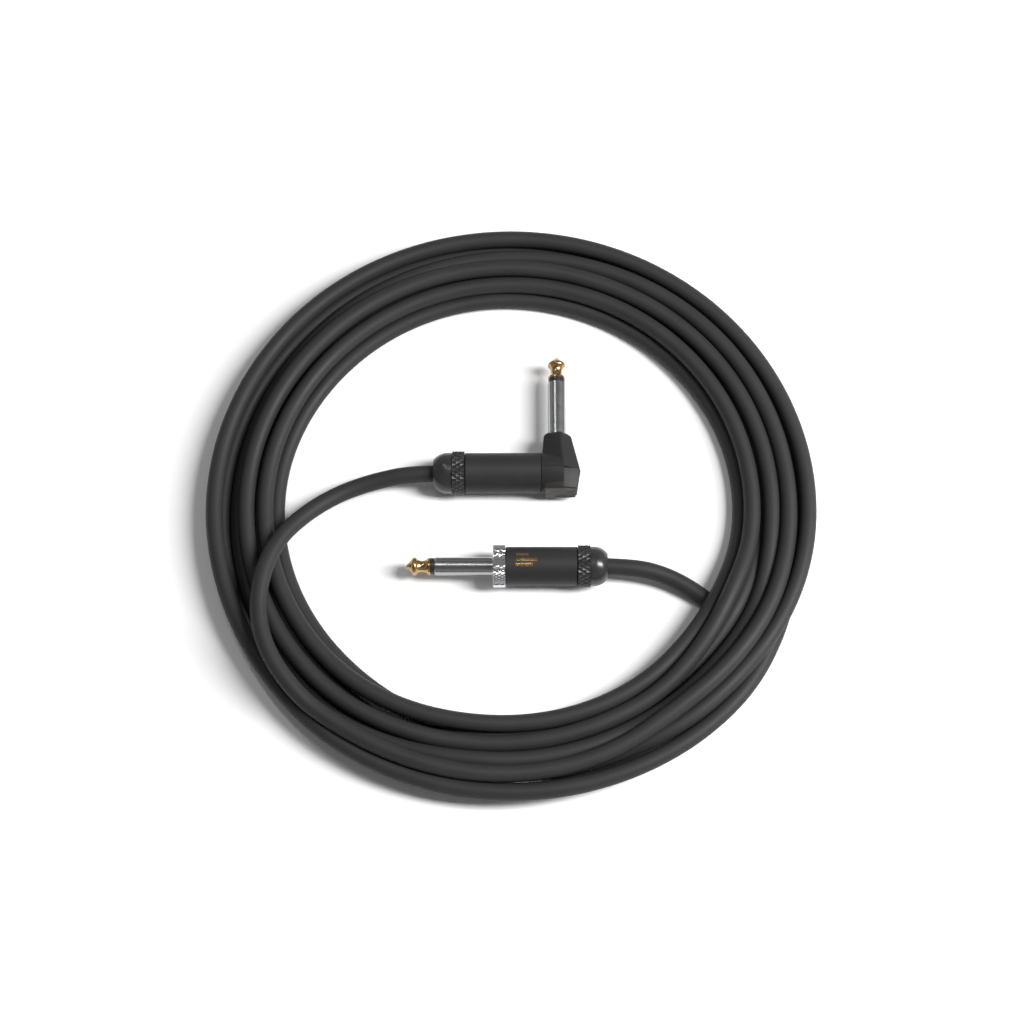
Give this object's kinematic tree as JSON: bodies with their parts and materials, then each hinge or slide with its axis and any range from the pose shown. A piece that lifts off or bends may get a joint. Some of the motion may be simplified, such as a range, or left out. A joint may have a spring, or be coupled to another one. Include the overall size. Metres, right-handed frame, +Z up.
{
  "type": "instrument cable",
  "caption": "Shielded instrument cable laid in a loose round coil, with a straight quarter-inch plug on one end and a right-angle one on the other.",
  "frame": {"origin": "on the surface that the cable lies on, at the middle of the box round the two plugs", "axes": "+Z up; +Y along the angle plug's jack, towards its tip; the straight plug's tip points to -X"},
  "size_m": [0.2159, 0.2159, 0.0192],
  "materials": {
    "gold": "polished gold plate",
    "nickel": "satin nickel plate",
    "chrome": "bright knurled chrome",
    "black_metal": "satin black",
    "black_knurl": "satin black, knurled",
    "black_boot": "semi-gloss",
    "head_black": "semi-gloss",
    "end_cap": "matt, ribbed",
    "jacket": "matt flexible jacket",
    "insulator": "matt",
    "nylon": "natural",
    "lug_brass": "plain",
    "solder": "dull",
    "core_insulation": "natural",
    "copper_braid": "bare copper"
  },
  "bodies": {
    "root": {"straight_tip": "gold", "straight_insulator": "insulator", "straight_sleeve": "nickel", "straight_sleeve_lug": "lug_brass", "straight_lug_washer": "nylon", "straight_tip_lug": "lug_brass", "straight_barrel": "black_metal", "straight_chuck": "nylon", "straight_liner": "nylon", "straight_cable_end": "jacket", "straight_core": "core_insulation", "straight_shield": "copper_braid", "straight_solder": "solder", "angle_tip": "gold", "angle_insulator": "insulator", "angle_sleeve": "nickel", "angle_sleeve_lug": "lug_brass", "angle_lug_washer": "nylon", "angle_tip_lug": "lug_brass", "angle_barrel": "black_metal", "angle_chuck": "nylon", "angle_liner": "nylon", "angle_cable_end": "jacket", "angle_core": "core_insulation", "angle_shield": "copper_braid", "angle_solder": "solder", "straight_collar": "chrome", "angle_head_upper": "head_black", "angle_head_lower": "head_black", "angle_end_cap": "end_cap", "cable_run_angle": "jacket", "cable_coil": "jacket", "cable_run_straight": "jacket"},
    "straight_gland_nut": {"straight_gland_nut": "black_knurl"},
    "straight_boot": {"straight_boot": "black_boot"},
    "angle_gland_nut": {"angle_gland_nut": "black_knurl"},
    "angle_boot": {"angle_boot": "black_boot"}
  },
  "joints": [
    {"name": "straight_boot_slide", "type": "slide", "parent": "root", "child": "straight_boot", "axis": [1, 0, 0], "range_m": [0, 0.005]},
    {"name": "straight_nut_turn", "type": "hinge", "parent": "straight_boot", "child": "straight_gland_nut", "pos_m": [0.02472, -0.0364, 0.00745], "axis": [1, 0, 0], "range_deg": [0, 1800]},
    {"name": "angle_boot_slide", "type": "slide", "parent": "root", "child": "angle_boot", "axis": [-1, 0, 0], "range_m": [0, 0.005]},
    {"name": "angle_nut_turn", "type": "hinge", "parent": "angle_boot", "child": "angle_gland_nut", "pos_m": [-0.01495, -0.00135, 0.00785], "axis": [-1, 0, 0], "range_deg": [0, 1800]}
  ],
  "couplings": [
    {"joint": "straight_boot_slide", "follows": "straight_nut_turn", "m_per_rad": 0.000159},
    {"joint": "angle_boot_slide", "follows": "angle_nut_turn", "m_per_rad": 0.000159}
  ]
}
